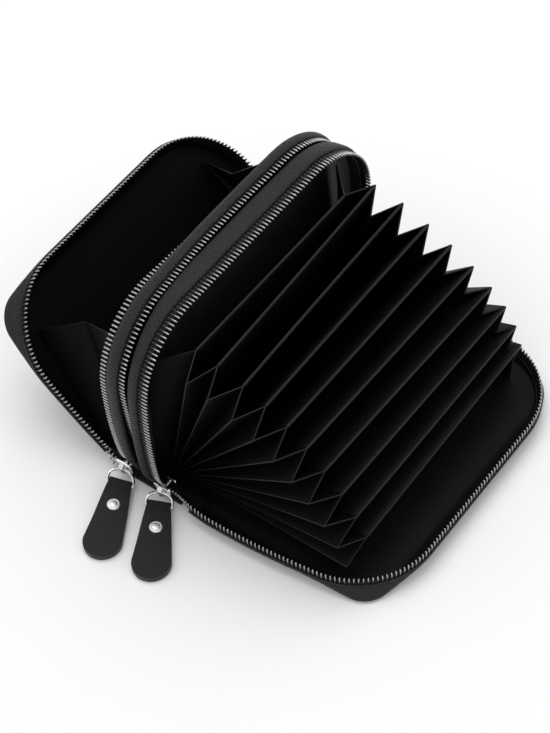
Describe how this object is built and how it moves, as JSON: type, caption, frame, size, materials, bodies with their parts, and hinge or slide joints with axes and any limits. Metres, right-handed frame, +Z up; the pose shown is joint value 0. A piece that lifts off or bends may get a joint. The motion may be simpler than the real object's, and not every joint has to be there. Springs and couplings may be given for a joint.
{
  "type": "zip card wallet",
  "caption": "Black leather zip card wallet with a fan of card leaves, rear note compartment, paired zips and leather pull tabs, standing open on its spine",
  "frame": {"origin": "on the table under the spine, midway along it and midway between the two zip planes", "axes": "+Z up, +Y along the spine to the end away from the zip pulls, +X towards the front cover"},
  "size_m": [0.1572, 0.1484, 0.0765],
  "materials": {
    "leather": "fine black grain, satin",
    "lining": "black coated lining with a soft sheen",
    "board": "pressed card stiffener",
    "tape": "woven black tape",
    "teeth": "gunmetal",
    "nickel": "polished nickel"
  },
  "bodies": {
    "spine": {"spine_leather": "leather", "spine_board": "board", "accordion_base": "lining", "rear_hoop_leather": "leather", "rear_hoop_board": "board", "rear_hoop_lining": "lining", "front_hoop_leather": "leather", "front_hoop_board": "board", "front_hoop_lining": "lining", "slot_lining": "lining", "rear_zip_hoop_chain": "teeth", "rear_zip_hoop_tape": "tape", "front_zip_hoop_chain": "teeth", "front_zip_hoop_tape": "tape", "slot_zip_chain": "teeth", "slot_zip_tape": "tape", "front_hinge_leather": "leather", "rear_hinge_leather": "leather", "near_pleats": "lining", "far_pleats": "lining", "rear_near_gusset": "lining", "rear_far_gusset": "lining"},
    "front_cover": {"front_cover_leather": "leather", "front_cover_board": "board", "front_cover_lining": "lining", "front_zip_cover_chain": "teeth", "front_zip_cover_tape": "tape"},
    "rear_cover": {"rear_cover_leather": "leather", "rear_cover_board": "board", "rear_cover_lining": "lining", "rear_zip_cover_chain": "teeth", "rear_zip_cover_tape": "tape"},
    "leaf_0": {"leaf_0": "lining"},
    "leaf_1": {"leaf_1": "lining"},
    "leaf_2": {"leaf_2": "lining"},
    "leaf_3": {"leaf_3": "lining"},
    "leaf_4": {"leaf_4": "lining"},
    "leaf_5": {"leaf_5": "lining"},
    "leaf_6": {"leaf_6": "lining"},
    "leaf_7": {"leaf_7": "lining"},
    "leaf_8": {"leaf_8": "lining"},
    "leaf_9": {"leaf_9": "lining"},
    "rear_slider": {"rear_slider": "nickel"},
    "rear_ring": {"rear_ring": "nickel"},
    "rear_tab": {"rear_tab": "leather", "rear_rivet": "nickel"},
    "front_slider": {"front_slider": "nickel"},
    "front_ring": {"front_ring": "nickel"},
    "front_tab": {"front_tab": "leather", "front_rivet": "nickel"}
  },
  "joints": [
    {"name": "front_cover_hinge", "type": "hinge", "parent": "spine", "child": "front_cover", "pos_m": [0.0185, 0, 0], "axis": [0, -1, 0], "range_deg": [0, 90], "deforming": ["front_hinge_leather", "near_pleats", "far_pleats"]},
    {"name": "rear_cover_hinge", "type": "hinge", "parent": "spine", "child": "rear_cover", "pos_m": [-0.001, 0, 0.0045], "axis": [0, 1, 0], "range_deg": [0, 44.5], "deforming": ["rear_hinge_leather", "rear_near_gusset", "rear_far_gusset"]},
    {"name": "leaf_0_hinge", "type": "hinge", "parent": "spine", "child": "leaf_0", "pos_m": [0.0032, 0, 0.003], "axis": [0, -1, 0], "range_deg": [0, 12.55]},
    {"name": "leaf_1_hinge", "type": "hinge", "parent": "spine", "child": "leaf_1", "pos_m": [0.00435, 0, 0.003], "axis": [0, -1, 0], "range_deg": [0, 19.33]},
    {"name": "leaf_2_hinge", "type": "hinge", "parent": "spine", "child": "leaf_2", "pos_m": [0.0055, 0, 0.003], "axis": [0, -1, 0], "range_deg": [0, 26.11]},
    {"name": "leaf_3_hinge", "type": "hinge", "parent": "spine", "child": "leaf_3", "pos_m": [0.00665, 0, 0.003], "axis": [0, -1, 0], "range_deg": [0, 32.88]},
    {"name": "leaf_4_hinge", "type": "hinge", "parent": "spine", "child": "leaf_4", "pos_m": [0.0078, 0, 0.003], "axis": [0, -1, 0], "range_deg": [0, 39.66]},
    {"name": "leaf_5_hinge", "type": "hinge", "parent": "spine", "child": "leaf_5", "pos_m": [0.00895, 0, 0.003], "axis": [0, -1, 0], "range_deg": [0, 46.44]},
    {"name": "leaf_6_hinge", "type": "hinge", "parent": "spine", "child": "leaf_6", "pos_m": [0.0101, 0, 0.003], "axis": [0, -1, 0], "range_deg": [0, 53.22]},
    {"name": "leaf_7_hinge", "type": "hinge", "parent": "spine", "child": "leaf_7", "pos_m": [0.01125, 0, 0.003], "axis": [0, -1, 0], "range_deg": [0, 59.99]},
    {"name": "leaf_8_hinge", "type": "hinge", "parent": "spine", "child": "leaf_8", "pos_m": [0.0124, 0, 0.003], "axis": [0, -1, 0], "range_deg": [0, 66.77]},
    {"name": "leaf_9_hinge", "type": "hinge", "parent": "spine", "child": "leaf_9", "pos_m": [0.01355, 0, 0.003], "axis": [0, -1, 0], "range_deg": [0, 73.55]},
    {"name": "rear_slider_run", "type": "hinge", "parent": "spine", "child": "rear_slider", "pos_m": [-0.0093, 0.1304, 0.0505], "axis": [-1, 0, 0], "range_deg": [0, 3.3]},
    {"name": "rear_ring_swing", "type": "hinge", "parent": "rear_slider", "child": "rear_ring", "pos_m": [-0.0093, -0.05713, 0.00532], "axis": [-0.91, -0.4147, 0], "range_deg": [0, 58]},
    {"name": "rear_tab_swing", "type": "hinge", "parent": "rear_ring", "child": "rear_tab", "pos_m": [-0.00721, -0.06171, 0.0017], "axis": [-0.91, -0.4147, 0], "range_deg": [0, 26]},
    {"name": "front_slider_run", "type": "hinge", "parent": "spine", "child": "front_slider", "pos_m": [0.0093, 0.1304, 0.0505], "axis": [-1, 0, 0], "range_deg": [0, 3.3]},
    {"name": "front_ring_swing", "type": "hinge", "parent": "front_slider", "child": "front_ring", "pos_m": [0.0093, -0.05713, 0.00532], "axis": [-0.8829, -0.4695, 0], "range_deg": [0, 58]},
    {"name": "front_tab_swing", "type": "hinge", "parent": "front_ring", "child": "front_tab", "pos_m": [0.01166, -0.06158, 0.0017], "axis": [-0.8829, -0.4695, 0], "range_deg": [0, 26]}
  ],
  "couplings": [
    {"joint": "leaf_0_hinge", "follows": "front_cover_hinge", "ratio": 0.13889},
    {"joint": "leaf_1_hinge", "follows": "front_cover_hinge", "ratio": 0.2142},
    {"joint": "leaf_2_hinge", "follows": "front_cover_hinge", "ratio": 0.28951},
    {"joint": "leaf_3_hinge", "follows": "front_cover_hinge", "ratio": 0.36482},
    {"joint": "leaf_4_hinge", "follows": "front_cover_hinge", "ratio": 0.44012},
    {"joint": "leaf_5_hinge", "follows": "front_cover_hinge", "ratio": 0.51543},
    {"joint": "leaf_6_hinge", "follows": "front_cover_hinge", "ratio": 0.59074},
    {"joint": "leaf_7_hinge", "follows": "front_cover_hinge", "ratio": 0.66605},
    {"joint": "leaf_8_hinge", "follows": "front_cover_hinge", "ratio": 0.74136},
    {"joint": "leaf_9_hinge", "follows": "front_cover_hinge", "ratio": 0.81667}
  ]
}
